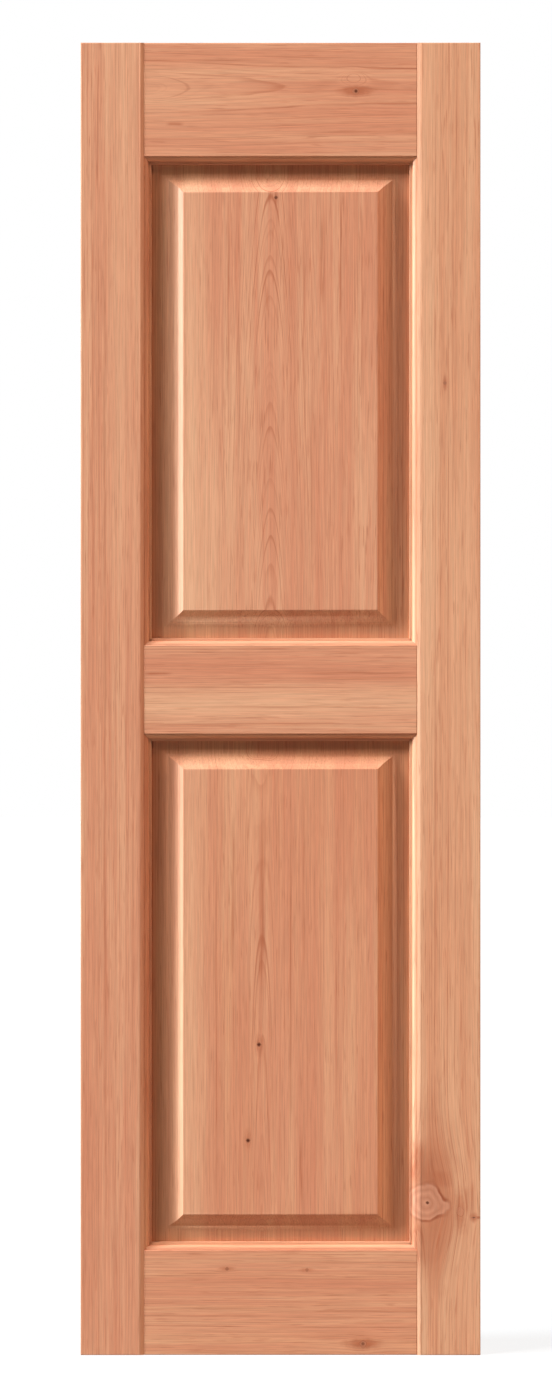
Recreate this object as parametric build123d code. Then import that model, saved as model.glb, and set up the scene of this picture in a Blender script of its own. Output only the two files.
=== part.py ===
from build123d import *

import math
import os

# A raised panel shutter in softwood: two stiles, three rails and two floating raised panels.
#
# The stiles run the full height and carry one moulding and one panel groove from end to end. Each rail is coped
# over that moulding up to its quirk, so that the slope beside the stile's face runs on along the rail's end as a
# fine groove. The rail fills the panel groove with a stub tenon and enters the stile with a deeper tenon. The
# panels float: they stand on the groove's floor below and have room to swell at the sides and above.
#
# Frame: millimetres, +Z up, +X to the right of someone who faces the moulded side, which looks along -Y. The
# origin is at the middle of the flat back, where the shutter lies against its wall.

# Overall size
shutter_width = 371.5
shutter_height = 1219.2
stile_thickness = 28.6
front_arris_radius = 0.8
back_arris_radius = 1.0

# Frame members, each measured to the edge of the panel opening
stile_width = 65.6
top_rail_height = 112.2
mid_rail_height = 95.6
bottom_rail_height = 104.1
upper_opening_height = 441.0
rail_setback = 1.0  # the rails' faces lie this far behind the stiles' faces

# Panel groove
back_lip = 8.4
groove_width = 9.5
groove_depth = 10.0

# Moulding along the openings. One cutter, set from the back, runs a flat fillet beside the panel, a quarter
# round, a small quirk and a slope that runs out at the face.
fillet_rise = 4.4  # from the groove to the fillet
fillet_width = 2.5
round_radius = 4.2
quirk_height = 0.4
slope_angle = 27.0
cutter_overshoot = 3.0

# Mortise and tenon joints
tenon_length = 28.0  # past the floor of the stile's groove
tenon_shoulder = 4.0  # from the rail's groove to the tenon
haunch_height = 26.0  # left without a tenon at the shutter's ends
mortise_end_gap = 2.0

# Raised panels, with the raising measured along the panel's ends
panel_play = 0.15  # in the groove, front and back
swelling_gap = 2.5  # each side
head_gap = 1.5  # above the panel
field_setback = 3.4  # from the stiles' faces to the panel's field
flat_width = 8.5  # the flat margin that shows beside the moulding
cove_width = 6.5
ramp_width = 6.3
ramp_angle = 24.0
shoulder_width = 5.0
field_arris_radius = 2.5
side_stretch = 1.28  # along the panel's sides the cove and the ramp are this much wider than along its ends

# Levels above the back
rail_thickness = stile_thickness - rail_setback
groove_front = back_lip + groove_width
fillet_level = groove_front + fillet_rise
round_top = fillet_level + round_radius
quirk_top = round_top + quirk_height
panel_back = back_lip + panel_play
tongue_thickness = groove_width - 2 * panel_play
field_height = stile_thickness - field_setback - panel_back

# Places in X and Z
half_width = shutter_width / 2
half_height = shutter_height / 2
opening_width = shutter_width - 2 * stile_width
stile_inner_edge = -opening_width / 2
stile_quirk = stile_inner_edge - fillet_width - round_radius
groove_floor = stile_inner_edge - groove_depth
top_rail_edge = half_height - top_rail_height
mid_rail_top_edge = top_rail_edge - upper_opening_height
mid_rail_bottom_edge = mid_rail_top_edge - mid_rail_height
bottom_rail_edge = bottom_rail_height - half_height

# A section's first axis lies across the board, and its second runs from the back to the face.
ACROSS_X = Plane(origin=(0, 0, 0), x_dir=(1, 0, 0), z_dir=(0, 0, -1))
ACROSS_Z = Plane(origin=(0, 0, 0), x_dir=(0, 0, 1), z_dir=(1, 0, 0))


def plain_section(low, high, thickness, low_eased, high_eased):
    """A plain board's section from low to high, its arrises eased at the outer edges."""
    section = make_face(Polyline((low, 0), (high, 0), (high, thickness), (low, thickness), close=True))
    eased_edges = [edge for edge, eased in ((low, low_eased), (high, high_eased)) if eased]
    for level, radius in ((0, back_arris_radius), (thickness, front_arris_radius)):
        for edge in eased_edges:
            corner = section.vertices().sort_by_distance((edge, level))[0]
            section = fillet([corner], radius)
    return section


def cutter_waste(edge, inward):
    """What the moulding cutter and the grooving cutter take at an opening's edge.

    inward is +1 where the board lies on the high side of the edge, and -1 where it lies on the low side.
    """
    quirk_at = fillet_width + round_radius
    half_round = round_radius * math.sqrt(1 / 2)
    clear_level = stile_thickness + cutter_overshoot
    slope_end = quirk_at + (clear_level - quirk_top) / math.tan(math.radians(slope_angle))

    def at(across, level):
        return (edge + inward * across, level)

    round_crown = at(quirk_at - half_round, fillet_level + half_round)
    moulding = Wire(
        [
            Line(at(-cutter_overshoot, fillet_level), at(fillet_width, fillet_level)),
            ThreePointArc(at(fillet_width, fillet_level), round_crown, at(quirk_at, round_top)),
            Line(at(quirk_at, round_top), at(quirk_at, quirk_top)),
            Line(at(quirk_at, quirk_top), at(slope_end, clear_level)),
            Line(at(slope_end, clear_level), at(-cutter_overshoot, clear_level)),
            Line(at(-cutter_overshoot, clear_level), at(-cutter_overshoot, fillet_level)),
        ]
    )
    groove = Polyline(
        at(-cutter_overshoot, back_lip),
        at(groove_depth, back_lip),
        at(groove_depth, groove_front),
        at(-cutter_overshoot, groove_front),
        close=True,
    )
    return [make_face(moulding), make_face(groove)]


def frame_section(low, high, thickness, opening_below, opening_above):
    """The section of a stile or rail from low to high, moulded and grooved towards each opening."""
    section = plain_section(low, high, thickness, not opening_below, not opening_above)
    if opening_below:
        section -= cutter_waste(low, 1)
    if opening_above:
        section -= cutter_waste(high, -1)
    return section


def left_stile_blank():
    """The left stile before its ends are eased and its mortises cut."""
    section = frame_section(-half_width, stile_inner_edge, stile_thickness, False, True)
    return extrude(ACROSS_X * section, amount=half_height, both=True)


def tenon(rail_levels, length):
    """A rail's left tenon, from the floor of the stile's groove outwards."""
    low, high, opening_below, opening_above = rail_levels
    bottom = low + (groove_depth + tenon_shoulder if opening_below else haunch_height)
    top = high - (groove_depth + tenon_shoulder if opening_above else haunch_height)
    middle = (groove_floor - length / 2, -(back_lip + groove_width / 2), (bottom + top) / 2)
    return Pos(*middle) * Box(length, groove_width, top - bottom)


def top_end_waste(level, radius, outward):
    """What comes off an arris of a stile's top end, at its back or its face, to round it to the radius."""
    corner = Pos(half_height, level) * Rectangle(2 * radius, 2 * radius)
    corner -= Pos(half_height - radius, level - outward * radius) * Circle(radius)
    return extrude(ACROSS_Z * corner, amount=half_width, both=True)


def left_stile(rails):
    """The left stile, with its ends eased like its long arrises and a mortise for each rail."""
    stile = left_stile_blank()
    for level, radius, outward in ((0, back_arris_radius, -1), (stile_thickness, front_arris_radius, 1)):
        waste = top_end_waste(level, radius, outward)
        stile -= [waste, mirror(waste, about=Plane.XY)]
    for rail_levels in rails:
        stile -= tenon(rail_levels, tenon_length + mortise_end_gap)
    return stile


def quirk_waste(rail_levels):
    """What comes off a rail's left end above the round, so that the stile's slope stays open along it."""
    low, high = rail_levels[:2]
    length = stile_quirk - groove_floor
    depth = rail_thickness + cutter_overshoot - round_top
    middle = (stile_quirk - length / 2, -(round_top + depth / 2), (low + high) / 2)
    return Pos(*middle) * Box(length, depth, high - low)


def rail(rail_levels):
    """A moulded rail, coped over both stiles up to their quirks and tenoned into them."""
    section = frame_section(rail_levels[0], rail_levels[1], rail_thickness, *rail_levels[2:])
    half_rail = extrude(ACROSS_Z * section, amount=groove_floor)
    half_rail -= [quirk_waste(rail_levels), left_stile_blank()]
    half_rail += tenon(rail_levels, tenon_length)
    return half_rail + mirror(half_rail, about=Plane.YZ)


def raised_edge(edge, inward, hidden_width, stretch):
    """One edge of a raised panel's section: a tongue for the groove, a flat, a cove, a ramp and a shoulder.

    hidden_width is how far the tongue enters its groove, and stretch widens the cove and the ramp. Gives the
    curves from the back to the field and the point where the field starts.
    """
    cove_rise = cove_width * math.tan(math.radians(ramp_angle) / 2)
    ramp_rise = ramp_width * math.tan(math.radians(ramp_angle))
    flat_end = hidden_width + flat_width
    cove_end = flat_end + stretch * cove_width
    ramp_end = cove_end + stretch * ramp_width
    shoulder_end = ramp_end + shoulder_width

    def at(across, level):
        return (edge + inward * across, level)

    cove_start_point = at(flat_end, tongue_thickness)
    cove_end_point = at(cove_end, tongue_thickness + cove_rise)
    ramp_end_point = at(ramp_end, tongue_thickness + cove_rise + ramp_rise)
    field_point = at(shoulder_end, field_height)
    curves = [
        Line(at(0, 0), at(0, tongue_thickness)),
        Line(at(0, tongue_thickness), cove_start_point),
        TangentArc(cove_start_point, cove_end_point, tangent=(inward, 0)),
        Line(cove_end_point, ramp_end_point),
        Line(ramp_end_point, field_point),
    ]
    return curves, field_point


def raised_section(low, high, low_hidden, high_hidden, stretch):
    """A raised panel's section from low to high, with a flat back."""
    low_curves, low_field = raised_edge(low, 1, low_hidden, stretch)
    high_curves, high_field = raised_edge(high, -1, high_hidden, stretch)
    field = Line(low_field, high_field)
    back = Line((low, 0), (high, 0))
    section = make_face(Wire([*low_curves, field, *high_curves, back]))
    field_corners = [section.vertices().sort_by_distance(point)[0] for point in (low_field, high_field)]
    return fillet(field_corners, field_arris_radius)


def raised_panel(opening_bottom, opening_top):
    """A panel for one opening: where its long and its cross section meet, the raising is mitred."""
    side_tongue = groove_depth - swelling_gap
    head_tongue = groove_depth - head_gap
    half_panel_width = opening_width / 2 + side_tongue
    across = raised_section(-half_panel_width, half_panel_width, side_tongue, side_tongue, side_stretch)
    foot = opening_bottom - groove_depth
    head = opening_top + head_tongue
    along = raised_section(foot, head, groove_depth, head_tongue, 1)
    sides_raised = extrude(ACROSS_X * across, amount=half_height, both=True)
    ends_raised = extrude(ACROSS_Z * along, amount=half_width, both=True)
    return Pos(0, -panel_back, 0) * (sides_raised & ends_raised)


def shutter():
    """Every piece of the shutter by its node's name."""
    rails = {
        "top_rail": (top_rail_edge, half_height, True, False),
        "mid_rail": (mid_rail_bottom_edge, mid_rail_top_edge, True, True),
        "bottom_rail": (-half_height, bottom_rail_edge, False, True),
    }
    left = left_stile(rails.values())
    pieces = {
        "left_stile": left,
        "right_stile": mirror(left, about=Plane.YZ),
        "upper_panel": raised_panel(mid_rail_top_edge, top_rail_edge),
        "lower_panel": raised_panel(bottom_rail_edge, mid_rail_bottom_edge),
    }
    for name, rail_levels in rails.items():
        pieces[name] = rail(rail_levels)
    return pieces


os.makedirs("parts", exist_ok=True)
for name, piece in shutter().items():
    export_step(piece, f"parts/{name}.step")
    box = piece.bounding_box()
    print(
        f"{name}: {len(piece.solids())} solid, {piece.volume / 1000:.1f} cm3,"
        f" {box.size.X:.1f} x {box.size.Y:.1f} x {box.size.Z:.1f} mm"
    )
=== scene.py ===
"""A raised panel shutter in clear, planed cedar: the finish of every board, the studio light and the camera."""

import logging
import math
from dataclasses import dataclass, field
from enum import Enum
from typing import Sequence

import bpy
import numpy as np
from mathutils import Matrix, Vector


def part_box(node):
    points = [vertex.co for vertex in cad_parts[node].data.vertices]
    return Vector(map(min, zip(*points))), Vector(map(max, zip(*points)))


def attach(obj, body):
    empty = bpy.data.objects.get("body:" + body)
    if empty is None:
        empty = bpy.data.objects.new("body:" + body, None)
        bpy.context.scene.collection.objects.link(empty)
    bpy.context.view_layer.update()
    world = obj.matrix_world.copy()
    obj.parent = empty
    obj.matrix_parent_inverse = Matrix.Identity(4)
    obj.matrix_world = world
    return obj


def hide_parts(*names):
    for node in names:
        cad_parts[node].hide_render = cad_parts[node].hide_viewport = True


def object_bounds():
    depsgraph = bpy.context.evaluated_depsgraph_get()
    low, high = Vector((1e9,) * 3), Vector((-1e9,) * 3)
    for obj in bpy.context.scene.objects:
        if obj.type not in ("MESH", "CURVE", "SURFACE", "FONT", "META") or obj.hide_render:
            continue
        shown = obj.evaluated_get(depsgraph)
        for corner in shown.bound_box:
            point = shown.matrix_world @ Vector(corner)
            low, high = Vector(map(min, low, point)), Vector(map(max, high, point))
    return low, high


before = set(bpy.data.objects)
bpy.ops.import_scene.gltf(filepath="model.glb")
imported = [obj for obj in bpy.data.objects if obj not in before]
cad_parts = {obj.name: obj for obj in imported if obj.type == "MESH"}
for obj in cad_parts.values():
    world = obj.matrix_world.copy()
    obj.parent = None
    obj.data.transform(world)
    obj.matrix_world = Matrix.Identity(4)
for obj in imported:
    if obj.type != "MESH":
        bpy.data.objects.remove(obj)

CAD_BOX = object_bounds()
MM = 0.001
Material = bpy.types.Material
Outputs = bpy.types.NodeOutputs
Socket = bpy.types.NodeSocket
Tree = bpy.types.NodeTree
Colour = tuple[float, float, float]
Place = tuple[float, float, float]
Marks = tuple[float, float]
log = logging.getLogger("shutter")

WHITE = (1.0, 1.0, 1.0)
WARM_BOUNCE = (1.0, 0.72, 0.52)  # light that has met wood or ground before
COOL_KEY = (0.79, 0.92, 1.0)  # the strong light from the left
SMALLEST_TURN = 1e-6  # in radians, below which a corner of a line is left as it is


def screen_colour(red: int, green: int, blue: int) -> Colour:
    """A colour given by its screen values from 0 to 255, turned into linear light by the usual power of 2.2."""
    return tuple((value / 255.0) ** 2.2 for value in (red, green, blue))


class GrainAxis(Enum):
    """Which way a board's grain runs in the shutter."""

    UPRIGHT = "upright"
    LEVEL = "level"


class Tint(Enum):
    """The colour that a streak leans towards, by the name of a finish's own colour."""

    LATE = "late"
    ROSE = "rose"
    HONEY = "honey"


@dataclass
class EdgeProfile:
    """One edge of a board as a line from its back to its face.

    The line gives, at each point, how far the edge stands in from the board's full rectangle and how high that
    point lies above the back, both in metres. It never falls towards the back.
    """

    inset: np.ndarray
    level: np.ndarray

    RUN_SHARE = 1e-6

    @property
    def keys(self) -> np.ndarray:
        """The levels, with a millionth of the line's sideways travel added so that they rise along flat runs too."""
        travel = np.concatenate([[0.0], np.cumsum(np.abs(np.diff(self.inset)))])
        return self.level + self.RUN_SHARE * travel

    def at(self, keys: np.ndarray) -> np.ndarray:
        """The insets at the given keys, read off the line.

        Args:
            keys: levels in the sense of the keys property, in rising order.

        Returns:
            One inset for each key.
        """
        return np.interp(keys, self.keys, self.inset)

    def joined(self, other: "EdgeProfile") -> "EdgeProfile":
        """This line and another one that starts where it ends."""
        return EdgeProfile(np.append(self.inset[:-1], other.inset), np.append(self.level[:-1], other.level))

    def planed_to(self, thickness: float) -> "EdgeProfile":
        """The line cut off at a lower face.

        Args:
            thickness: the level of that face.

        Returns:
            The part of the line up to the face.
        """
        keep = int(np.argmax(self.level >= thickness))
        cut = float(np.interp(thickness, self.level[keep - 1 : keep + 1], self.inset[keep - 1 : keep + 1]))
        return EdgeProfile(np.append(self.inset[:keep], cut), np.append(self.level[:keep], thickness))


def eased_line(points: Sequence[tuple[float, float]], radii: Sequence[float], steps: int = 4) -> EdgeProfile:
    """Rounds the corners of a line of straight runs.

    Formula: at each corner an arc of the given radius starts where the incoming run is left, a distance of the
    radius times the tangent of half the turn before the corner, and each point of it lies at the arc's centre plus
    the radius times the unit vector that turns evenly from one run's normal to the next one's.

    Args:
        points: (inset, level) pairs in metres, from the back to the face.
        radii: one radius for each point in metres, 0 for a sharp corner and for both ends.
        steps: segments in each arc.

    Returns:
        The rounded line.
    """
    line = np.array(points, dtype=float)
    pieces = [line[:1]]
    for before, corner, after, radius in zip(line[:-2], line[1:-1], line[2:], radii[1:-1]):
        incoming = (corner - before) / np.linalg.norm(corner - before)
        outgoing = (after - corner) / np.linalg.norm(after - corner)
        turn = math.atan2(incoming[0] * outgoing[1] - incoming[1] * outgoing[0], float(incoming @ outgoing))
        if radius == 0 or abs(turn) < SMALLEST_TURN:
            pieces.append(corner[None])
            continue
        side = math.copysign(1.0, turn)
        start = corner - incoming * radius * math.tan(abs(turn) / 2)
        normal = side * np.array([-incoming[1], incoming[0]])
        centre = start + radius * normal
        angles = np.linspace(0.0, turn, steps + 1)
        spoke = -normal
        arc = np.stack(
            [
                spoke[0] * np.cos(angles) - spoke[1] * np.sin(angles),
                spoke[0] * np.sin(angles) + spoke[1] * np.cos(angles),
            ],
            axis=1,
        )
        pieces.append(centre + radius * arc)
    pieces.append(line[-1:])
    rounded = np.concatenate(pieces)
    return EdgeProfile(rounded[:, 0], rounded[:, 1])


@dataclass(frozen=True)
class Moulding:
    """The cutter that runs along every opening, its sizes in metres, as the boards were machined."""

    back_lip: float = 8.4 * MM
    groove_width: float = 9.5 * MM
    groove_depth: float = 10.0 * MM
    fillet_rise: float = 4.4 * MM
    fillet_width: float = 2.5 * MM
    round_radius: float = 4.2 * MM
    quirk_height: float = 0.9 * MM
    slope_width: float = 3.34 * MM
    slope_easing: float = 8.0 * MM
    easing: float = 0.25 * MM
    cope_easing: float = 0.5 * MM
    round_steps: int = 12

    @property
    def fillet_level(self) -> float:
        """How high the flat fillet beside the panel lies above the back."""
        return self.back_lip + self.groove_width + self.fillet_rise

    @property
    def quirk(self) -> float:
        """How far the quirk lies from the opening's edge."""
        return self.fillet_width + self.round_radius

    @property
    def round_level(self) -> float:
        """How high the top of the round lies above the back."""
        return self.fillet_level + self.round_radius

    @property
    def slope_level(self) -> float:
        """How high the slope starts above the back."""
        return self.round_level + self.quirk_height

    @property
    def width(self) -> float:
        """The whole width of the moulding on a stile."""
        return self.quirk + self.slope_width

    def profile(self, thickness: float, back_easing: float) -> EdgeProfile:
        """The moulded and grooved edge of a board.

        Args:
            thickness: the level of the board's face.
            back_easing: radius of the arris at the back.

        Returns:
            The edge from back to face.
        """
        high = eased_line(
            [
                (self.quirk, self.round_level),
                (self.quirk, self.slope_level),
                (self.width, thickness),
                (2 * self.width, thickness),
            ],
            [0.0, 0.0, self.slope_easing, 0.0],
        )
        return self.lower_run(back_easing).joined(self.round_run()).joined(high)

    def cope(self, thickness: float, back_easing: float, seam: float) -> EdgeProfile:
        """The end of a rail that is fitted over this moulding up to its quirk, and stands square above it.

        Args:
            thickness: the level of the rail's face.
            back_easing: radius of the arris at the back.
            seam: the hair's breadth by which the end stands off.

        Returns:
            The end from back to face, as insets from the opening's edge, most of them negative.
        """
        high = eased_line(
            [
                (self.quirk, self.round_level),
                (self.quirk, thickness),
                (self.quirk - 2 * self.cope_easing, thickness),
            ],
            [0.0, self.cope_easing, 0.0],
        )
        end = self.lower_run(back_easing).joined(self.round_run()).joined(high)
        return EdgeProfile(seam - end.inset, end.level)

    def lower_run(self, back_easing: float) -> EdgeProfile:
        """The lip, the groove and the fillet as straight runs, up to the foot of the round."""
        groove_top = self.back_lip + self.groove_width
        return eased_line(
            [
                (back_easing * 2, 0.0),
                (0.0, 0.0),
                (0.0, self.back_lip),
                (self.groove_depth, self.back_lip),
                (self.groove_depth, groove_top),
                (0.0, groove_top),
                (0.0, self.fillet_level),
                (self.fillet_width, self.fillet_level),
            ],
            [0.0, back_easing, self.easing, 0.0, 0.0, self.easing, self.easing, 0.0],
        )

    def round_run(self) -> EdgeProfile:
        """The quarter round, from the fillet to the quirk.

        Formula: its points are its centre plus the radius times the cosine and sine of an angle that goes evenly
        from straight out over the opening to straight up from the board.

        Returns:
            The round.
        """
        angles = np.linspace(0.0, math.pi / 2, self.round_steps + 1)
        inset = self.quirk - self.round_radius * np.cos(angles)
        return EdgeProfile(inset, self.fillet_level + self.round_radius * np.sin(angles))


def plain_edge(thickness: float, back_radius: float, front_radius: float) -> EdgeProfile:
    """A square edge with its two arrises rounded.

    Args:
        thickness: the level of the board's face.
        back_radius: radius of the arris at the back.
        front_radius: radius of the arris at the face.

    Returns:
        The edge from back to face.
    """
    return eased_line(
        [(2 * back_radius, 0.0), (0.0, 0.0), (0.0, thickness), (2 * front_radius, thickness)],
        [0.0, back_radius, front_radius, 0.0],
        steps=6,
    )


@dataclass
class Slab:
    """A board as a stack of rectangles, each at its own level above the back.

    Formula: at each level the board's full rectangle, from west to east and from foot to head, is drawn in on each
    side by that side's edge profile. Neighbouring rectangles are joined side by side, and the first and the last
    are closed, so a moulding turns every corner in an exact mitre.
    """

    west: float
    east: float
    foot: float
    head: float
    back: float
    west_edge: EdgeProfile
    east_edge: EdgeProfile
    foot_edge: EdgeProfile
    head_edge: EdgeProfile

    KEY_DIGITS = 10  # decimals of a metre, beyond which two levels are one
    SHARP_ANGLE = math.radians(25.0)

    def mesh(self, name: str) -> bpy.types.Mesh:
        """Builds the closed mesh.

        Args:
            name: the mesh's name.

        Returns:
            The mesh, with its faces outwards and smooth except at its sharp corners.
        """
        edges = (self.west_edge, self.east_edge, self.foot_edge, self.head_edge)
        keys = np.unique(np.concatenate([edge.keys for edge in edges]).round(self.KEY_DIGITS))
        west, east, foot, head = (edge.at(keys) for edge in edges)
        x = np.stack([self.west + west, self.east - east, self.east - east, self.west + west], axis=1)
        z = np.stack([self.foot + foot, self.foot + foot, self.head - head, self.head - head], axis=1)
        y = np.broadcast_to(-(self.back + keys)[:, None], x.shape)
        points = np.stack([x, y, z], axis=2).reshape(-1, 3)
        count = len(keys)
        ring = np.arange(4)
        base = 4 * np.arange(count - 1)[:, None]
        sides = np.stack(
            [base + ring, base + (ring + 1) % 4, base + 4 + (ring + 1) % 4, base + 4 + ring], axis=2
        ).reshape(-1, 4)
        caps = np.array([[3, 2, 1, 0], 4 * (count - 1) + ring])
        mesh = bpy.data.meshes.new(name)
        mesh.from_pydata(points.tolist(), [], np.concatenate([sides, caps]).tolist())
        mesh.shade_smooth()
        mesh.set_sharp_from_angle(angle=self.SHARP_ANGLE)
        mesh.validate()
        return mesh


def place_piece(name: str, mesh: bpy.types.Mesh, material: Material, node: str) -> None:
    """Puts a finished mesh in the scene in place of a node of the frame.

    Args:
        name: the piece's name.
        mesh: its mesh, already in the shutter's own frame.
        material: its finish.
        node: the node that it stands for.
    """
    piece = bpy.data.objects.new(name, mesh)
    bpy.context.scene.collection.objects.link(piece)
    mesh.materials.append(material)
    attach(piece, "root")
    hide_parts(node)
    log.info("%s: %d faces", name, len(mesh.polygons))


class NodeSheet:
    """A node tree with short words for its nodes."""

    def __init__(self, tree: Tree) -> None:
        """Takes the tree that the nodes go into."""
        self.tree = tree

    @classmethod
    def fresh(cls, owner: bpy.types.ID) -> "NodeSheet":
        """A sheet on the emptied node tree of a material or a world."""
        owner.use_nodes = True
        owner.node_tree.nodes.clear()
        return cls(owner.node_tree)

    def add(self, kind: str, **settings: object) -> bpy.types.Node:
        """A new node of a kind, with some of its settings."""
        node = self.tree.nodes.new(kind)
        for key, value in settings.items():
            setattr(node, key, value)
        return node

    def feed(self, socket: Socket, value: object) -> None:
        """Links a socket to another one, or sets it to a plain value, where a colour is made opaque."""
        if isinstance(value, Socket):
            self.tree.links.new(value, socket)
        elif socket.type == "RGBA":
            socket.default_value = (*value, 1.0)
        else:
            socket.default_value = value

    def named(self, kind: str, inputs: dict[str, object], **settings: object) -> Outputs:
        """The results of a new node whose inputs are fed by name."""
        node = self.add(kind, **settings)
        for key, value in inputs.items():
            self.feed(node.inputs[key], value)
        return node.outputs

    def ordered(self, kind: str, *values: object, **settings: object) -> Socket:
        """The first result of a new node whose inputs are fed in order."""
        node = self.add(kind, **settings)
        for socket, value in zip(node.inputs, values):
            self.feed(socket, value)
        return node.outputs[0]

    def math(self, operation: str, *values: object) -> Socket:
        """The result of a Math node on up to three values."""
        return self.ordered("ShaderNodeMath", *values, operation=operation)

    def vector(self, operation: str, *values: object) -> Socket:
        """The vector result of a Vector Math node."""
        return self.ordered("ShaderNodeVectorMath", *values, operation=operation)

    def split(self, vector: object) -> tuple[Socket, Socket, Socket]:
        """The three parts of a vector."""
        return tuple(self.named("ShaderNodeSeparateXYZ", {"Vector": vector}))

    def join(self, x: object, y: object, z: object) -> Socket:
        """A vector of three parts."""
        return self.ordered("ShaderNodeCombineXYZ", x, y, z)

    def share(self, mask: object, share: float) -> Socket:
        """A mask times a share."""
        return self.math("MULTIPLY", mask, share)

    def least(self, mask: object, least: float) -> Socket:
        """A mask raised so that it falls no lower than a least share."""
        return self.math("MULTIPLY_ADD", mask, 1.0 - least, least)

    def noise(self, vector: object, scale: object, detail: float = 2.0, rough: float = 0.5) -> Socket:
        """A noise value at a vector."""
        inputs = {"Vector": vector, "Scale": scale, "Detail": detail, "Roughness": rough}
        return self.named("ShaderNodeTexNoise", inputs, noise_dimensions="3D")[0]

    def swing(self, noise: object) -> Socket:
        """A noise value moved down by a half, so that it swings about 0."""
        return self.math("SUBTRACT", noise, 0.5)

    def window(self, value: object, marks: Marks) -> Socket:
        """A value turned into 0 at the first mark and 1 at the second one, with soft ends."""
        inputs = {"Value": value, "From Min": marks[0], "From Max": marks[1]}
        return self.named("ShaderNodeMapRange", inputs, interpolation_type="SMOOTHSTEP")["Result"]

    def bell(self, across: object, along: object = 0.0) -> Socket:
        """A bell over two distances: e to the power of minus the sum of their squares."""
        square = self.math("MULTIPLY", across, across)
        square = self.math("MULTIPLY_ADD", along, along, square)
        return self.math("POWER", math.e, self.math("MULTIPLY", square, -1.0))

    def blend(self, factor: object, first: object, second: object, way: str = "MIX") -> Socket:
        """Two colours mixed by a factor."""
        node = self.add("ShaderNodeMix", data_type="RGBA", blend_type=way)
        self.feed(node.inputs["Factor"], factor)
        self.feed(node.inputs[6], first)
        self.feed(node.inputs[7], second)
        return node.outputs[2]


def new_group(
    name: str, vectors: Sequence[str], values: Sequence[str], masks: Sequence[str], moved: Sequence[str] = ()
) -> tuple[Tree, NodeSheet, Outputs, bpy.types.NodeInputs]:
    """An empty node group with named sockets.

    Args:
        name: the group's name.
        vectors: the names of its vector inputs.
        values: the names of its value inputs.
        masks: the names of its value outputs.
        moved: the names of its vector outputs.

    Returns:
        The group, a sheet to draw its nodes on, what the group is given and what it gives.
    """
    tree = bpy.data.node_groups.new(name, "ShaderNodeTree")
    for names, direction, kind in (
        (vectors, "INPUT", "Vector"),
        (values, "INPUT", "Float"),
        (moved, "OUTPUT", "Vector"),
        (masks, "OUTPUT", "Float"),
    ):
        for socket in names:
            tree.interface.new_socket(socket, in_out=direction, socket_type=f"NodeSocket{kind}")
    sheet = NodeSheet(tree)
    return tree, sheet, sheet.add("NodeGroupInput").outputs, sheet.add("NodeGroupOutput").inputs


@dataclass(frozen=True)
class LongNoise:
    """A noise drawn out along the grain.

    The share shrinks the way along the grain, and the marks, where there are any, are the window's.
    """

    share: float
    scale: float
    detail: float = 3.0
    rough: float = 0.5
    marks: Marks | None = (0.34, 0.66)

    def at(self, sheet: NodeSheet, place: object) -> Socket:
        """The noise at a place, turned into a mask by its marks."""
        drawn_out = sheet.vector("MULTIPLY", place, (1.0, 1.0, self.share))
        noise = sheet.noise(drawn_out, self.scale, self.detail, self.rough)
        return sheet.window(noise, self.marks) if self.marks else noise


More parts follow.
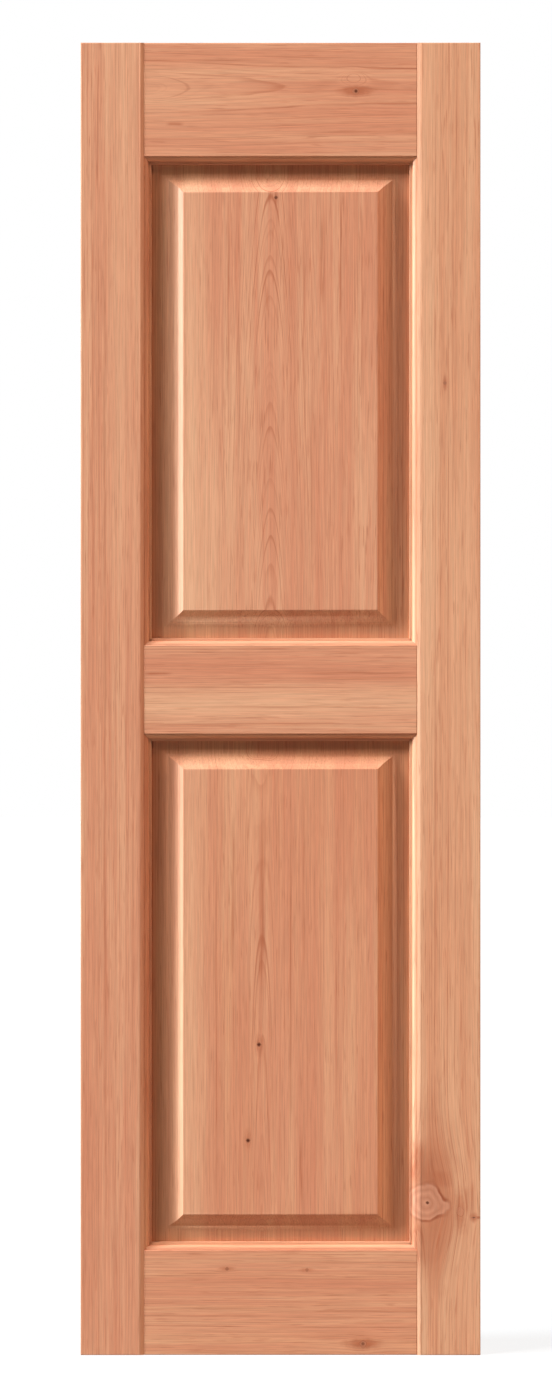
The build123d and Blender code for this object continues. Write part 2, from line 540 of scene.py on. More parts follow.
@dataclass(frozen=True)
class KnotDrawing:
    """How every knot is drawn. Lengths are in radii, and a pair is where a mask is 0 and where it is 1."""

    seed_step: Place = (0.31, 0.17, 0.23)
    wobble_scale: float = 0.8
    wobble: float = 0.9
    flow_narrowing: float = 0.62
    flow_pull: float = 0.92
    oval_power: float = 1.5
    pith_metres: Marks = (2.3 * MM, 0.9 * MM)
    body: Marks = (1.08, 0.9)
    rim_inside: Marks = (0.86, 1.0)
    rim_outside: Marks = (1.18, 1.02)
    rim_gaps: Marks = (0.4, 0.62)
    rim_least: float = 0.3
    halo_oval: float = 0.12
    halo: Marks = (2.9, 0.7)
    ring_speed: float = 2.2

    def group(self) -> Tree:
        """The node group of a knot: the grain parts round it, and inside it are its own rings and its pith.

        Formula: the place across the board is drawn back towards the knot by a bell of the distances across and
        along over the radius, so that the growth rings outside part and close again. The knot itself is a pointed
        oval: the two distances are turned, the long one is divided by the stretch, and both are raised to a power,
        added, and taken back by the power's root. A noise makes that distance waver, and windows of it give the
        body, the uneven rim and the wide halo, and its fraction the rings. The pith has a real size in metres.

        Returns:
            The group.
        """
        tree, sheet, given, out = new_group(
            "knot",
            ("Vector", "Centre"),
            ("Radius", "Length", "Stretch", "Turn", "Seed"),
            ("Pith", "Body", "Rim", "Halo", "Rings"),
            moved=("Vector",),
        )
        across, _, along = sheet.split(sheet.vector("SUBTRACT", given["Vector"], given["Centre"]))
        near = sheet.math("DIVIDE", across, given["Radius"])
        far = sheet.math("DIVIDE", along, given["Radius"])
        flow = sheet.bell(sheet.share(near, self.flow_narrowing), sheet.math("DIVIDE", far, given["Length"]))
        push = sheet.math("MULTIPLY", across, sheet.share(flow, self.flow_pull))
        sheet.feed(out["Vector"], sheet.vector("SUBTRACT", given["Vector"], sheet.join(push, 0.0, 0.0)))
        spot = sheet.vector("MULTIPLY_ADD", given["Seed"], self.seed_step, given["Vector"])
        wobble = sheet.noise(spot, sheet.math("DIVIDE", self.wobble_scale, given["Radius"]))
        cosine = sheet.math("COSINE", given["Turn"])
        sine = sheet.math("SINE", given["Turn"])
        wide = sheet.math("MULTIPLY_ADD", near, cosine, sheet.math("MULTIPLY", far, sine))
        tall = sheet.math("SUBTRACT", sheet.math("MULTIPLY", far, cosine), sheet.math("MULTIPLY", near, sine))
        tall = sheet.math("DIVIDE", tall, given["Stretch"])
        powers = [sheet.math("POWER", sheet.math("ABSOLUTE", way), self.oval_power) for way in (wide, tall)]
        plain = sheet.math("POWER", sheet.math("ADD", *powers), 1 / self.oval_power)
        distance = sheet.math("MULTIPLY_ADD", sheet.swing(wobble), self.wobble, plain)
        span = sheet.math("MULTIPLY", plain, given["Radius"])
        sheet.feed(out["Pith"], sheet.window(span, self.pith_metres))
        sheet.feed(out["Body"], sheet.window(distance, self.body))
        ring = sheet.math(
            "MULTIPLY", sheet.window(distance, self.rim_inside), sheet.window(distance, self.rim_outside)
        )
        uneven = sheet.least(sheet.window(wobble, self.rim_gaps), self.rim_least)
        sheet.feed(out["Rim"], sheet.math("MULTIPLY", ring, uneven))
        oval = sheet.share(sheet.math("MULTIPLY", plain, plain), self.halo_oval)
        reach = sheet.math("SQRT", sheet.math("MULTIPLY_ADD", near, near, oval))
        sheet.feed(out["Halo"], sheet.window(sheet.math("MULTIPLY_ADD", wobble, self.wobble, reach), self.halo))
        rings = sheet.math("PINGPONG", sheet.share(distance, self.ring_speed), 0.5)
        sheet.feed(out["Rings"], sheet.share(rings, 2.0))
        return tree


@dataclass(frozen=True)
class StreakDrawing:
    """How every streak is drawn. A pair is where a mask is 0 and where it is 1."""

    drift_scale: float = 14.0
    drift: float = 4.0 * MM
    fade: Marks = (1.0, 0.35)
    fibre: LongNoise = LongNoise(0.03, 900.0, detail=2.0, marks=(0.25, 0.65))
    fibre_least: float = 0.4

    def group(self) -> Tree:
        """The node group of a line that follows the grain.

        Formula: the place across the board, moved by a slow waver, is measured from the line's own place over its
        width. A bell of it, faded at both ends and broken up by the fibres, is the mask.

        Returns:
            The group.
        """
        values = ("Across", "Start", "End", "Width", "Seed")
        tree, sheet, given, out = new_group("streak", ("Vector",), values, ("Mask",))
        across, _, along = sheet.split(given["Vector"])
        drift = sheet.swing(sheet.noise(sheet.join(given["Seed"], given["Across"], along), self.drift_scale))
        moved = sheet.math("MULTIPLY_ADD", drift, self.drift, sheet.math("SUBTRACT", across, given["Across"]))
        middle = sheet.share(sheet.math("ADD", given["Start"], given["End"]), 0.5)
        half = sheet.share(sheet.math("SUBTRACT", given["End"], given["Start"]), 0.5)
        way = sheet.math("DIVIDE", sheet.math("ABSOLUTE", sheet.math("SUBTRACT", along, middle)), half)
        line = sheet.bell(sheet.math("DIVIDE", moved, given["Width"]))
        faded = sheet.math("MULTIPLY", line, sheet.window(way, self.fade))
        broken = sheet.least(self.fibre.at(sheet, given["Vector"]), self.fibre_least)
        sheet.feed(out["Mask"], sheet.math("MULTIPLY", faded, broken))
        return tree


def swell_group() -> Tree:
    """A swelling of the growth rings, which shows on a planed face as nested ovals: a bell of the two distances."""
    tree, sheet, given, out = new_group("swell", ("Vector", "Centre"), ("Width", "Length"), ("Height",))
    across, _, along = sheet.split(sheet.vector("SUBTRACT", given["Vector"], given["Centre"]))
    wide = sheet.math("DIVIDE", across, given["Width"])
    sheet.feed(out["Height"], sheet.bell(wide, sheet.math("DIVIDE", along, given["Length"])))
    return tree


@dataclass(frozen=True)
class GrainDrawing:
    """How the grain of every board is drawn. A pair is where a mask is 0 and where it is 1."""

    seed_step: Place = (0.37, 0.11, 0.73)
    slow: LongNoise = LongNoise(0.16, 20.0, detail=2.0, rough=0.4, marks=None)
    quick: LongNoise = LongNoise(0.14, 90.0, detail=2.0, marks=None)
    quick_share: float = 0.16
    year_scale: float = 0.35
    year_spread: float = 2.4
    patch_across: float = 1.7
    patch_along: float = 14.0
    patch: Marks = (0.36, 0.62)
    patch_least: float = 0.3
    late_full: float = 0.9
    late_end: Marks = (1.0, 0.92)
    strength_power: float = 1.8

    # Of the lines of late wood: how many there are in a year, where each starts and its least strength
    LATE_WOOD = {"Line": (1.0, 0.76, 0.1), "Hair": (3.0, 0.4, 0.0)}
    NOISES = {
        "Tone": LongNoise(0.03, 75.0),
        "Fibre": LongNoise(0.025, 1100.0, rough=0.65, marks=None),
        "Streak": LongNoise(0.016, 330.0, rough=0.6, marks=(0.42, 0.68)),
        "Dash": LongNoise(0.04, 850.0, detail=1.0, marks=(0.6, 0.72)),
        "Cloud": LongNoise(0.14, 30.0),
    }

    def group(self) -> Tree:
        """The node group of the growth rings and fibres of a board, cut from a leaning log.

        Formula: the distance from the pith is the root of the squared distances across the board and through it.
        The lean adds a share of the place along the grain, which a bell of the distance across fades out over the
        reach, a slow noise lets the rings waver, and swellings are added as given. The sum over the ring width,
        itself stretched by a one-dimensional noise, counts the rings: its fraction climbs from 0 to 1 over each
        year, and the late wood is a thin line near its end, of a strength drawn for each year, which comes and
        goes along the grain. The same count, taken three times as fast, gives finer lines. Fibres, streaks, dashes
        and clouds are noises drawn out along the grain.

        Returns:
            The group.
        """
        values = ("Lean", "Reach", "Ring Width", "Waver", "Swell", "Seed")
        tree, sheet, given, out = new_group("cedar_grain", ("Vector", "Pith"), values, (*self.LATE_WOOD, *self.NOISES))
        place = sheet.vector("MULTIPLY_ADD", given["Seed"], self.seed_step, given["Vector"])
        across, through, along = sheet.split(sheet.vector("SUBTRACT", given["Vector"], given["Pith"]))
        squares = sheet.math("MULTIPLY_ADD", across, across, sheet.math("MULTIPLY", through, through))
        middle = sheet.bell(sheet.math("DIVIDE", across, given["Reach"]))
        rise = sheet.math("MULTIPLY", sheet.math("MULTIPLY", along, given["Lean"]), middle)
        leaned = sheet.math("ADD", rise, sheet.math("ADD", sheet.math("SQRT", squares), given["Swell"]))
        wavered = sheet.math("MULTIPLY_ADD", sheet.swing(self.slow.at(sheet, place)), given["Waver"], leaned)
        shaken = sheet.share(given["Waver"], self.quick_share)
        wavered = sheet.math("MULTIPLY_ADD", sheet.swing(self.quick.at(sheet, place)), shaken, wavered)
        even = sheet.math("DIVIDE", wavered, given["Ring Width"])
        spread = sheet.noise(sheet.join(even, given["Seed"], 0.0), self.year_scale, detail=1.0)
        count = sheet.math("MULTIPLY_ADD", sheet.swing(spread), self.year_spread, even)
        patch_place = sheet.join(
            sheet.share(count, self.patch_across), sheet.share(along, self.patch_along), given["Seed"]
        )
        patch = sheet.least(sheet.window(sheet.noise(patch_place, 1.0), self.patch), self.patch_least)
        for name, (speed, start, least) in self.LATE_WOOD.items():
            turned = sheet.share(count, speed)
            ring = sheet.math("FRACT", turned)
            year = sheet.named("ShaderNodeTexWhiteNoise", {"W": sheet.math("FLOOR", turned)}, noise_dimensions="1D")
            climb = sheet.window(ring, (start, self.late_full))
            late = sheet.math("MULTIPLY", climb, sheet.window(ring, self.late_end))
            drawn = sheet.least(sheet.math("POWER", year["Value"], self.strength_power), least)
            sheet.feed(out[name], sheet.math("MULTIPLY", late, sheet.math("MULTIPLY", drawn, patch)))
        for name, noise in self.NOISES.items():
            sheet.feed(out[name], noise.at(sheet, place))
        return tree


@dataclass(frozen=True)
class Figure:
    """The node groups that every board's material shares."""

    grain: Tree
    knot: Tree
    streak: Tree
    swell: Tree

    @classmethod
    def drawn(cls) -> "Figure":
        """Builds each group once."""
        return cls(GrainDrawing().group(), KnotDrawing().group(), StreakDrawing().group(), swell_group())


@dataclass(frozen=True)
class Knot:
    """A knot, in millimetres: its place across and along the grain, its radius, and the grain's flow round it.

    The flow is how many radii above and below it the grain has closed again. The stretch is how much longer than
    wide the knot is, and the turn tilts its long axis, in degrees. Each share, from 0 to 1, says how strongly that
    part of the knot is tinted.
    """

    across: float
    along: float
    radius: float
    flow: float = 3.0
    pith: float = 0.9
    body: float = 0.5
    rim: float = 0.6
    halo: float = 0.35
    stretch: float = 1.0
    turn: float = 0.0

    def inputs(self, seed: float) -> dict[str, object]:
        """What the knot's node group is given, apart from the place."""
        return {
            "Centre": (self.across * MM, 0.0, self.along * MM),
            "Radius": self.radius * MM,
            "Length": self.flow,
            "Stretch": self.stretch,
            "Turn": math.radians(self.turn),
            "Seed": seed,
        }


@dataclass(frozen=True)
class Streak:
    """A line or band along the grain, in millimetres: its place across, its two ends, its width and its strength."""

    across: float
    start: float
    end: float
    width: float = 1.0
    strength: float = 0.5
    tint: Tint = Tint.LATE

    def inputs(self, seed: float) -> dict[str, object]:
        """What the streak's node group is given, apart from the place."""
        sizes = {"Across": self.across, "Start": self.start, "End": self.end, "Width": self.width}
        return {name: size * MM for name, size in sizes.items()} | {"Seed": seed}


@dataclass(frozen=True)
class Swell:
    """A swelling of the rings, in millimetres: its place across and along, its width, length and height."""

    across: float
    along: float
    width: float
    length: float
    height: float

    def inputs(self) -> dict[str, object]:
        """What the swelling's node group is given, apart from the place."""
        centre = (self.across * MM, 0.0, self.along * MM)
        return {"Centre": centre, "Width": self.width * MM, "Length": self.length * MM}


@dataclass(frozen=True)
class CedarFinish:
    """Clear, planed cedar for one board. Lengths are in millimetres and shares run from 0 to 1.

    The pith is where the log's middle lies: across the grain, through the board and along the grain. A recess pair
    holds two levels above the back: from the first to the second the painted shade of the recess comes in, a darker
    tint on the panels' sunk margins that stands in for their shadow.
    """

    name: str
    axis: GrainAxis
    seed: float
    tan: Colour = screen_colour(224, 163, 128)
    rose: Colour = screen_colour(209, 134, 103)
    late: Colour = screen_colour(176, 98, 66)
    honey: Colour = screen_colour(234, 182, 144)
    knot_body: Colour = screen_colour(190, 124, 94)
    knot_rim: Colour = screen_colour(150, 80, 52)
    knot_pith: Colour = screen_colour(92, 44, 26)
    # painted shade: a darker tint for the panels' sunk margins in place of their shadow, its share and the levels
    # where it comes in
    recess_tint: Colour = screen_colour(204, 192, 172)
    recess_share: float = 0.0
    recess_back: Marks = (10.0, 14.0)
    recess_front: Marks = (22.0, 18.0)
    pith: Place = (0.0, 60.0, 0.0)
    lean: float = 0.02
    reach: float = 1000.0
    ring_width: float = 3.8
    waver: float = 5.0
    line_share: float = 0.7
    hair_share: float = 0.6
    rose_share: float = 0.6
    honey_share: float = 0.4
    streak_share: float = 0.45
    dash_share: float = 0.42
    fibre_contrast: float = 0.55
    knot_ring_share: float = 0.4
    end_grain_share: float = 0.45
    end_grain_marks: Marks = (0.75, 0.98)
    knots: tuple[Knot, ...] = ()
    streaks: tuple[Streak, ...] = ()
    swells: tuple[Swell, ...] = ()
    roughness: float = 0.46
    fibre_gloss: float = 0.16
    specular: float = 0.42
    relief: float = 0.06
    relief_strength: float = 0.3
    line_depth: float = 0.5

    STREAK_SEED_STEP = 0.37

    def recess(self, sheet: NodeSheet, place: Socket) -> Socket:
        """Painted shade: the front surfaces that lie back from a panel's field, darkened in place of their shadow."""
        depth = sheet.split(place)[1]
        front, back = (tuple(-level * MM for level in pair) for pair in (self.recess_front, self.recess_back))
        inside = sheet.share(sheet.window(depth, front), self.recess_share)
        return sheet.math("MULTIPLY", inside, sheet.window(depth, back))

    def place(self, sheet: NodeSheet) -> Socket:
        """The board's own coordinates: across the grain, through the board and along the grain."""
        x, y, z = sheet.split(sheet.add("ShaderNodeTexCoord").outputs["Object"])
        if self.axis is GrainAxis.LEVEL:
            return sheet.join(z, y, x)
        return sheet.join(x, y, z)

    def end_grain(self, sheet: NodeSheet) -> Socket:
        """A mask of the surfaces that cut across the fibres, from how far the surface faces along the grain."""
        x, _, z = sheet.split(sheet.add("ShaderNodeNewGeometry").outputs["Normal"])
        facing = x if self.axis is GrainAxis.LEVEL else z
        return sheet.window(sheet.math("ABSOLUTE", facing), self.end_grain_marks)

    def material(self, figure: Figure) -> Material:
        """Builds the material.

        Args:
            figure: the shared node groups.

        Returns:
            The material, with its shader outside the groups.
        """
        material = bpy.data.materials.new(self.name)
        sheet = NodeSheet.fresh(material)
        plain = place = self.place(sheet)
        knot_layers = []
        for number, spot in enumerate(self.knots):
            inputs = {"Vector": plain, **spot.inputs(self.seed + number)}
            knot = sheet.named("ShaderNodeGroup", inputs, node_tree=figure.knot)
            place = sheet.vector("ADD", place, sheet.vector("SUBTRACT", knot["Vector"], plain))
            inner = sheet.blend(sheet.share(knot["Rings"], self.knot_ring_share), self.knot_body, self.knot_rim)
            knot_layers += [
                (knot["Halo"], spot.halo, self.late),
                (knot["Body"], spot.body, inner),
                (knot["Rim"], spot.rim, self.knot_rim),
                (knot["Pith"], spot.pith, self.knot_pith),
            ]
        height = 0.0
        for swell in self.swells:
            swelling = sheet.named("ShaderNodeGroup", {"Vector": plain, **swell.inputs()}, node_tree=figure.swell)
            height = sheet.math("MULTIPLY_ADD", swelling["Height"], swell.height * MM, height)
        inputs = {
            "Vector": place,
            "Pith": tuple(part * MM for part in self.pith),
            "Lean": self.lean,
            "Reach": self.reach * MM,
            "Ring Width": self.ring_width * MM,
            "Waver": self.waver * MM,
            "Swell": height,
            "Seed": self.seed,
        }
        grain = sheet.named("ShaderNodeGroup", inputs, node_tree=figure.grain)
        layers = [
            (grain["Cloud"], self.honey_share, self.honey),
            (grain["Tone"], self.rose_share, self.rose),
            (grain["Streak"], self.streak_share, self.rose),
            (grain["Hair"], self.hair_share, self.late),
            (grain["Line"], self.line_share, self.late),
            (grain["Dash"], self.dash_share, self.late),
        ]
        for number, line in enumerate(self.streaks):
            inputs = {"Vector": place, **line.inputs(self.seed + self.STREAK_SEED_STEP * number)}
            streak = sheet.named("ShaderNodeGroup", inputs, node_tree=figure.streak)
            layers.append((streak["Mask"], line.strength, getattr(self, line.tint.value)))
        colour = self.tan
        for mask, share, tint in layers + knot_layers:
            colour = sheet.blend(sheet.share(mask, share), colour, tint)
        # painted shade: the panels' sunk margins are darkened in their colour in place of their shadow
        if self.recess_share:
            colour = sheet.blend(self.recess(sheet, place), colour, self.recess_tint, way="MULTIPLY")
        fibre = sheet.math("MULTIPLY_ADD", grain["Fibre"], self.fibre_contrast, 1.0 - self.fibre_contrast / 2)
        colour = sheet.blend(1.0, colour, sheet.join(fibre, fibre, fibre), way="MULTIPLY")
        colour = sheet.blend(sheet.share(self.end_grain(sheet), self.end_grain_share), colour, self.late)
        gloss = self.fibre_gloss
        height = sheet.math("MULTIPLY_ADD", grain["Line"], -self.line_depth, grain["Fibre"])
        relief = {"Strength": self.relief_strength, "Distance": self.relief * MM, "Height": height}
        surface = {
            "Base Color": colour,
            "Roughness": sheet.math("MULTIPLY_ADD", grain["Fibre"], -gloss, self.roughness + gloss / 2),
            "Specular IOR Level": self.specular,
            "Normal": sheet.named("ShaderNodeBump", relief)[0],
        }
        shader = sheet.named("ShaderNodeBsdfPrincipled", surface)[0]
        sheet.named("ShaderNodeOutputMaterial", {"Surface": shader})
        return material


@dataclass
class Board:
    """One board of the shutter, which takes the place of a node of the frame."""

    node: str
    finish: CedarFinish

    SLOT = "cedar_frame"

    def slab(self) -> Slab:
        """The board's shape, which each kind of board gives."""
        raise NotImplementedError

    def build(self, figure: Figure) -> None:
        """Builds the board and dresses it."""
        material = self.finish.material(figure)
        place_piece(f"{self.node}_board", self.slab().mesh(self.node), material, self.node)


@dataclass
class Stile(Board):
    """A full-height board, moulded and grooved along its inner edge.

    Its thickness is a micrometre under 28.6 mm, so that no rounding puts its face outside the frame's box.
    """

    side: int
    thickness: float = 28.599 * MM
    front_easing: float = 0.8 * MM
    back_easing: float = 1.0 * MM
    moulding: Moulding = field(default_factory=Moulding)

    def slab(self) -> Slab:
        """The stile's shape, between the corners of its node."""
        low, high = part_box(self.node)
        plain = plain_edge(self.thickness, self.back_easing, self.front_easing)
        moulded = self.moulding.profile(self.thickness, self.back_easing)
        west, east = (plain, moulded) if self.side < 0 else (moulded, plain)
        return Slab(low.x, high.x, low.z, high.z, 0.0, west, east, plain, plain)


@dataclass
class Rail(Board):
    """A board between the stiles, moulded towards its openings and coped over the stiles' mouldings."""

    moulded_foot: bool
    moulded_head: bool
    stile_width: float = 65.6 * MM
    stile_thickness: float = 28.6 * MM
    thickness: float = 27.6 * MM
    front_easing: float = 0.8 * MM
    back_easing: float = 1.0 * MM
    seam: float = 0.06 * MM
    moulding: Moulding = field(default_factory=Moulding)

    def slab(self) -> Slab:
        """The rail's shape: its ends reach into the stiles' groove and fit over their moulding, less a fine seam."""
        low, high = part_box(self.node)
        opening = CAD_BOX[1].x - self.stile_width
        plain = plain_edge(self.thickness, self.back_easing, self.front_easing)
        moulded = self.moulding.profile(self.stile_thickness, self.back_easing).planed_to(self.thickness)
        end = self.moulding.cope(self.thickness, self.back_easing, self.seam)
        foot = moulded if self.moulded_foot else plain
        head = moulded if self.moulded_head else plain
        return Slab(-opening, opening, low.z, high.z, 0.0, end, end, foot, head)


@dataclass
class RaisedPanel(Board):
    """A floating panel with a flat back and a raising of flat, cove, ramp and shoulder round its field."""

    back: float = 8.55 * MM
    tongue: float = 9.2 * MM
    side_tongue: float = 7.5 * MM
    foot_tongue: float = 10.0 * MM
    head_tongue: float = 8.5 * MM
    flat_width: float = 8.5 * MM
    cove_width: float = 6.5 * MM
    ramp_width: float = 6.3 * MM
    side_stretch: float = 1.28
    cove_rise: float = 1.38 * MM
    ramp_rise: float = 2.8 * MM
    shoulder_width: float = 5.0 * MM
    field_level: float = 16.65 * MM
    field_easing: float = 2.5 * MM
    easing: float = 0.5 * MM
    back_easing: float = 0.6 * MM

    SLOT = "cedar_panel"

    def edge(self, tongue: float, stretch: float) -> EdgeProfile:
        """The raising of one side.

        Args:
            tongue: how far the panel enters its groove.
            stretch: how much wider the cove and the ramp are than at the ends.

        Returns:
            The edge from back to field, with a long arc over the cove.
        """
        flat = tongue + self.flat_width
        cove = flat + stretch * self.cove_width
        ramp = cove + stretch * self.ramp_width
        shoulder = ramp + self.shoulder_width
        turn = math.atan(self.ramp_rise / (stretch * self.ramp_width))
        bend = cove - self.cove_rise / math.tan(turn)
        radius = (cove - bend) / math.cos(turn) / math.tan(turn / 2)
        return eased_line(
            [
                (2 * self.back_easing, 0.0),
                (0.0, 0.0),
                (0.0, self.tongue),
                (bend, self.tongue),
                (ramp, self.tongue + self.cove_rise + self.ramp_rise),
                (shoulder, self.field_level),
                (shoulder + self.field_easing, self.field_level),
            ],
            [0.0, self.back_easing, 0.0, radius, self.easing, self.field_easing, 0.0],
            steps=8,
        )

    def slab(self) -> Slab:
        """The panel's shape, between the corners of its node."""
        low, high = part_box(self.node)
        side = self.edge(self.side_tongue, self.side_stretch)
        foot = self.edge(self.foot_tongue, 1.0)
        head = self.edge(self.head_tongue, 1.0)
        return Slab(low.x, high.x, low.z, high.z, self.back, side, side, foot, head)


@dataclass(frozen=True)
class Lamp:
    """A far lamp: the direction that it shines from, its strength, its spread in degrees and its colour."""

    name: str
    direction: Place
    strength: float
    spread: float
    tint: Colour = WHITE

    def build(self) -> None:
        """Puts the lamp in the scene."""
        lamp = bpy.data.lights.new(self.name, "SUN")
        lamp.energy = self.strength
        lamp.angle = math.radians(self.spread)
        lamp.color = self.tint
        holder = bpy.data.objects.new(self.name, lamp)
        holder.rotation_euler = Vector(self.direction).to_track_quat("Z", "Y").to_euler()
        bpy.context.scene.collection.objects.link(holder)


@dataclass
class Studio:
    """A white studio: a pale floor, a long lens and soft lamps, of which the strongest rakes from the upper left.

    The frame's height, and how far aside and above the camera looks, are in the photograph's pixels. The frame's
    scale is the size of one of them at the shutter's face, in metres.
    """

    lamps: tuple[Lamp, ...] = (
        Lamp("raking_key", (-5.0, -1.0, 2.0), 4.3, 8.0, COOL_KEY),
        Lamp("high_key", (-4.5, -1.0, 3.6), 2.4, 8.0, COOL_KEY),
        Lamp("upper_left", (-1.8, -1.0, 1.9), 2.8, 12.0),
        Lamp("upper_right", (3.0, -1.0, 1.7), 1.7, 14.0, WARM_BOUNCE),
        Lamp("front_fill", (-0.3, -1.0, -0.3), 0.9, 36.0, WARM_BOUNCE),
        Lamp("low_bounce", (0.3, -1.0, -2.6), 0.3, 30.0, WARM_BOUNCE),
        Lamp("back_light", (1.2, 2.2, 1.6), 1.8, 24.0),
    )
    fill_strength: float = 0.05
    floor_size: float = 30.0
    floor_bounce: Colour = (0.03, 0.03, 0.03)
    floor_seen: Colour = (0.12, 0.12, 0.12)
    floor_glow: float = 0.84
    sensor_width: float = 36.0
    lens_distance: float = 3.3
    frame_height: float = 1400.0
    frame_scale: float = 0.92877 * MM
    aside: float = -4.5
    above: float = -1.15

    def world(self) -> None:
        """An even white surround, seen as pure white by the camera and by rays through glass, and elsewhere a faint
        fill.
        """
        world = bpy.data.worlds.new("surround")
        bpy.context.scene.world = world
        sheet = NodeSheet.fresh(world)
        path = sheet.add("ShaderNodeLightPath").outputs
        seen = sheet.math("MAXIMUM", path["Is Camera Ray"], path["Is Transmission Ray"])
        fill, white = (
            sheet.named("ShaderNodeBackground", {"Color": WHITE, "Strength": strength})[0]
            for strength in (self.fill_strength, 1.0)
        )
        surface = sheet.ordered("ShaderNodeMixShader", seen, fill, white)
        sheet.named("ShaderNodeOutputWorld", {"Surface": surface})

    def floor(self) -> None:
        """A pale floor that the camera sees as white outside the shutter's shadow, and that the low lamps pass."""
        half = self.floor_size / 2
        level = CAD_BOX[0].z
        mesh = bpy.data.meshes.new("floor")
        corners = [(-half, -half, level), (half, -half, level), (half, half, level), (-half, half, level)]
        mesh.from_pydata(corners, [], [(0, 1, 2, 3)])
        material = bpy.data.materials.new("pale_floor")
        sheet = NodeSheet.fresh(material)
        matt, pale = (
            sheet.named("ShaderNodeBsdfDiffuse", {"Color": colour})[0]
            for colour in (self.floor_bounce, self.floor_seen)
        )
        glow = sheet.named("ShaderNodeEmission", {"Strength": self.floor_glow})[0]
        bright = sheet.ordered("ShaderNodeAddShader", pale, glow)
        seen = sheet.add("ShaderNodeLightPath").outputs["Is Camera Ray"]
        surface = sheet.ordered("ShaderNodeMixShader", seen, matt, bright)
        sheet.named("ShaderNodeOutputMaterial", {"Surface": surface})
        mesh.materials.append(material)
        ground = bpy.data.objects.new("floor", mesh)
        ground.visible_shadow = False
        bpy.context.scene.collection.objects.link(ground)

    def camera(self) -> None:
        """A camera square to the front, at the photograph's height and side."""
        lens = bpy.data.cameras.new("camera")
        lens.sensor_width = self.sensor_width
        lens.lens = self.lens_distance / self.frame_scale * lens.sensor_width / self.frame_height
        holder = bpy.data.objects.new("camera", lens)
        face = CAD_BOX[0].y
        holder.location = (self.aside * self.frame_scale, face - self.lens_distance, self.above * self.frame_scale)
        holder.rotation_euler = (math.pi / 2, 0.0, 0.0)
        bpy.context.scene.collection.objects.link(holder)
        bpy.context.scene.camera = holder

    def build(self) -> None:
        """Sets the whole studio up."""
        for lamp in self.lamps:
            lamp.build()
        self.world()
        self.floor()
        self.camera()
        bpy.context.scene.view_settings.view_transform = "Standard"


# Straight, fine grain, paler to the right of a darker line, and redder towards the foot.
LEFT_STILE = CedarFinish(
    "cedar_left_stile",
    GrainAxis.UPRIGHT,
    seed=1.0,
    pith=(-420.0, 260.0, 0.0),
    ring_width=2.9,
    waver=2.4,
    lean=0.0,
    streaks=(
        Streak(-146.0, 0.0, 900.0, 12.0, 0.4, Tint.HONEY),
        Streak(-172.0, -900.0, 300.0, 14.0, 0.35, Tint.ROSE),
        Streak(-150.0, -900.0, 0.0, 16.0, 0.25, Tint.ROSE),
        Streak(-163.0, -620.0, 620.0, 1.2, 0.5),
        Streak(-174.0, 20.0, 560.0, 0.9, 0.35),
        Streak(-137.0, -500.0, 100.0, 0.8, 0.3),
    ),
)

# Straight tan grain that flows round a large knot near the foot.
RIGHT_STILE = CedarFinish(
    "cedar_right_stile",
    GrainAxis.UPRIGHT,
    seed=2.0,
    tan=screen_colour(224, 167, 130),
    rose=screen_colour(212, 143, 108),
    pith=(520.0, 300.0, 0.0),
    ring_width=4.2,
    waver=4.0,
    lean=0.0,
    knot_body=screen_colour(212, 148, 118),
    knot_rim=screen_colour(158, 86, 58),
    knots=(
        Knot(136.5, -468.0, 19.5, flow=2.8, pith=0.9, body=0.8, rim=1.0, halo=0.65, stretch=0.9, turn=-14.0),
        Knot(167.0, -476.7, 3.6, flow=3.0, pith=0.0, body=0.3, rim=0.5, halo=0.6, stretch=1.3, turn=20.0),
        Knot(179.6, -481.8, 2.4, flow=4.0, pith=0.8, body=0.9, rim=0.8, halo=0.8, stretch=0.4),
        Knot(152.8, 293.4, 1.6, flow=4.0, pith=0.3, body=0.5, rim=0.4, halo=0.6),
    ),
    streaks=(
        Streak(138.0, -300.0, 900.0, 7.0, 0.4, Tint.HONEY),
        Streak(168.0, -400.0, 500.0, 12.0, 0.25, Tint.HONEY),
        Streak(151.5, 60.0, 640.0, 2.6, 0.4, Tint.ROSE),
        Streak(144.0, -330.0, 60.0, 1.2, 0.4),
        Streak(176.0, -300.0, -20.0, 1.0, 0.4),
        Streak(160.0, 100.0, 600.0, 0.8, 0.35),
        Streak(178.0, -900.0, -430.0, 12.0, 0.35, Tint.ROSE),
        Streak(131.5, -454.0, -408.0, 3.5, 0.75),
        Streak(142.0, -456.0, -436.0, 6.0, 0.5),
        Streak(164.0, -482.0, -450.0, 3.0, 0.6),
        Streak(172.0, -484.0, -444.0, 2.6, 0.55),
        Streak(132.0, -530.0, -484.0, 5.0, 0.4),
        Streak(179.0, -483.4, -480.0, 4.0, 0.9),
    ),
)

# Level grain in long waves, with nested ovals at the left and a small knot at the right.
TOP_RAIL = CedarFinish(
    "cedar_top_rail",
    GrainAxis.LEVEL,
    seed=3.0,
    tan=screen_colour(222, 156, 121),
    pith=(568.0, 22.0, 0.0),
    ring_width=3.4,
    waver=7.0,
    lean=0.012,
    knots=(Knot(564.6, 70.1, 3.2, flow=4.0, pith=0.9, body=0.8, rim=0.6, halo=0.8),),
    swells=(Swell(568.3, -123.0, 9.0, 26.0, -7.0), Swell(577.6, 68.0, 6.0, 9.0, -5.0)),
    streaks=(
        Streak(560.0, -400.0, 20.0, 30.0, 0.35, Tint.HONEY),
        Streak(550.0, -20.0, 400.0, 26.0, 0.3, Tint.ROSE),
        Streak(533.6, -108.0, -88.0, 1.2, 0.7),
        Streak(593.3, -200.0, 10.0, 1.0, 0.45),
        Streak(565.5, 10.0, 200.0, 0.9, 0.4),
        Streak(526.5, 0.0, 200.0, 1.0, 0.45),
    ),
)

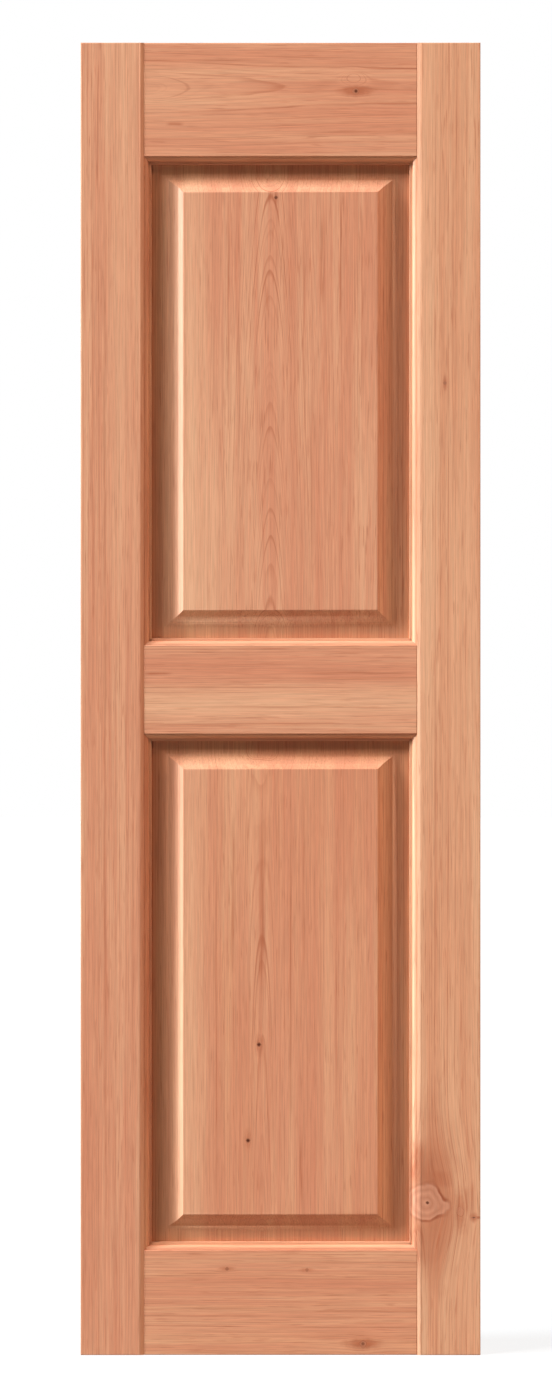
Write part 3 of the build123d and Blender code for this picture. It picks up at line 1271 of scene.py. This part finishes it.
# Level grain, redder above and paler below.
MID_RAIL = CedarFinish(
    "cedar_mid_rail",
    GrainAxis.LEVEL,
    seed=4.0,
    pith=(330.0, 180.0, 0.0),
    ring_width=4.0,
    waver=3.6,
    lean=0.0,
    streaks=(
        Streak(27.0, -325.0, 325.0, 13.0, 0.7, Tint.ROSE),
        Streak(-4.0, -325.0, 325.0, 13.0, 0.6, Tint.HONEY),
        Streak(23.5, -130.0, -98.0, 1.2, 0.8),
        Streak(24.5, 10.0, 135.0, 1.3, 0.6),
        Streak(19.0, 0.0, 140.0, 1.0, 0.5),
        Streak(11.0, -160.0, 30.0, 0.9, 0.4),
        Streak(-7.5, -100.0, 150.0, 1.1, 0.45),
        Streak(-23.5, -180.0, 100.0, 1.1, 0.45),
    ),
)

# Level grain with three small knots.
BOTTOM_RAIL = CedarFinish(
    "cedar_bottom_rail",
    GrainAxis.LEVEL,
    seed=5.0,
    tan=screen_colour(221, 156, 119),
    pith=(-820.0, 150.0, 0.0),
    ring_width=3.8,
    waver=4.4,
    lean=0.004,
    knots=(
        Knot(-529.6, -49.7, 1.6, flow=5.0, pith=0.35, body=0.6, rim=0.5, halo=0.6),
        Knot(-530.5, 24.6, 1.4, flow=4.0, pith=0.25, body=0.5, rim=0.4, halo=0.5),
        Knot(-599.2, 76.6, 3.6, flow=4.0, pith=0.6, body=0.8, rim=0.6, halo=0.9),
    ),
    streaks=(
        Streak(-566.7, -160.0, -10.0, 1.0, 0.45),
        Streak(-573.2, -150.0, 10.0, 1.0, 0.4),
        Streak(-524.0, 0.0, 160.0, 1.0, 0.45),
        Streak(-568.6, 20.0, 160.0, 1.0, 0.4),
        Streak(-545.0, -200.0, 200.0, 8.0, 0.3, Tint.ROSE),
    ),
)

# Flat-sawn grain with tall pointed arches, tan at the left and redder at the right.
UPPER_PANEL = CedarFinish(
    "cedar_upper_panel",
    GrainAxis.UPRIGHT,
    seed=6.0,
    line_share=1.0,
    # painted shade in this panel's sunk margins
    recess_share=0.65,
    pith=(-9.8, 3.0, 700.0),
    lean=0.08,
    reach=45.0,
    ring_width=3.3,
    waver=3.6,
    knots=(Knot(-4.2, 466.1, 1.4, flow=3.0, pith=0.8, body=0.7, rim=0.5, halo=0.4),),
    streaks=(
        Streak(-84.0, -200.0, 700.0, 17.0, 0.6, Tint.HONEY),
        Streak(-60.0, 0.0, 250.0, 24.0, 0.35, Tint.HONEY),
        Streak(-52.0, 300.0, 560.0, 16.0, 0.35, Tint.ROSE),
        Streak(42.0, -100.0, 700.0, 26.0, 0.5, Tint.ROSE),
        Streak(56.5, 320.0, 490.0, 0.8, 0.75),
        Streak(39.0, 350.0, 470.0, 2.2, 0.5),
        Streak(22.0, 210.0, 450.0, 0.9, 0.55),
        Streak(29.0, 60.0, 300.0, 0.8, 0.45),
        Streak(-48.5, 230.0, 500.0, 0.9, 0.5),
        Streak(-38.5, 200.0, 400.0, 0.8, 0.4),
        Streak(76.0, 240.0, 480.0, 0.9, 0.4),
    ),
)

# Straight fine grain with thin eyes along a seam left of the middle, and two pin knots.
LOWER_PANEL = CedarFinish(
    "cedar_lower_panel",
    GrainAxis.UPRIGHT,
    seed=7.0,
    tan=screen_colour(220, 155, 118),
    # painted shade in this panel's sunk margins
    recess_share=0.65,
    pith=(-17.2, -4.0, -250.0),
    lean=0.03,
    reach=12.0,
    ring_width=3.0,
    waver=3.0,
    knots=(
        Knot(-20.0, -321.4, 2.2, flow=3.0, pith=1.0, body=0.9, rim=0.8, halo=0.5),
        Knot(-30.2, -410.6, 2.2, flow=3.0, pith=1.0, body=0.9, rim=0.8, halo=0.5),
    ),
    streaks=(
        Streak(-84.0, -900.0, 300.0, 14.0, 0.45, Tint.HONEY),
        Streak(30.0, -700.0, 100.0, 34.0, 0.35, Tint.ROSE),
        Streak(-17.2, -310.0, -80.0, 2.4, 0.7),
        Streak(-44.1, -270.0, -90.0, 1.6, 0.6),
        Streak(9.8, -470.0, -70.0, 1.0, 0.5),
        Streak(21.8, -300.0, -60.0, 0.9, 0.45),
        Streak(19.0, -480.0, -400.0, 1.2, 0.6),
        Streak(-60.0, -500.0, -100.0, 0.9, 0.4),
        Streak(52.0, -420.0, -120.0, 0.9, 0.4),
    ),
)


def main() -> None:
    """Builds the shutter board by board, then the studio round it."""
    logging.basicConfig(level=logging.INFO, format="%(name)s: %(message)s")
    figure = Figure.drawn()
    boards = (
        Stile("left_stile", LEFT_STILE, -1),
        Stile("right_stile", RIGHT_STILE, 1),
        Rail("top_rail", TOP_RAIL, True, False),
        Rail("mid_rail", MID_RAIL, True, True),
        Rail("bottom_rail", BOTTOM_RAIL, False, True),
        RaisedPanel("upper_panel", UPPER_PANEL),
        RaisedPanel("lower_panel", LOWER_PANEL),
    )
    for board in boards:
        board.build(figure)
    Studio().build()


if __name__ == "__main__":
    main()
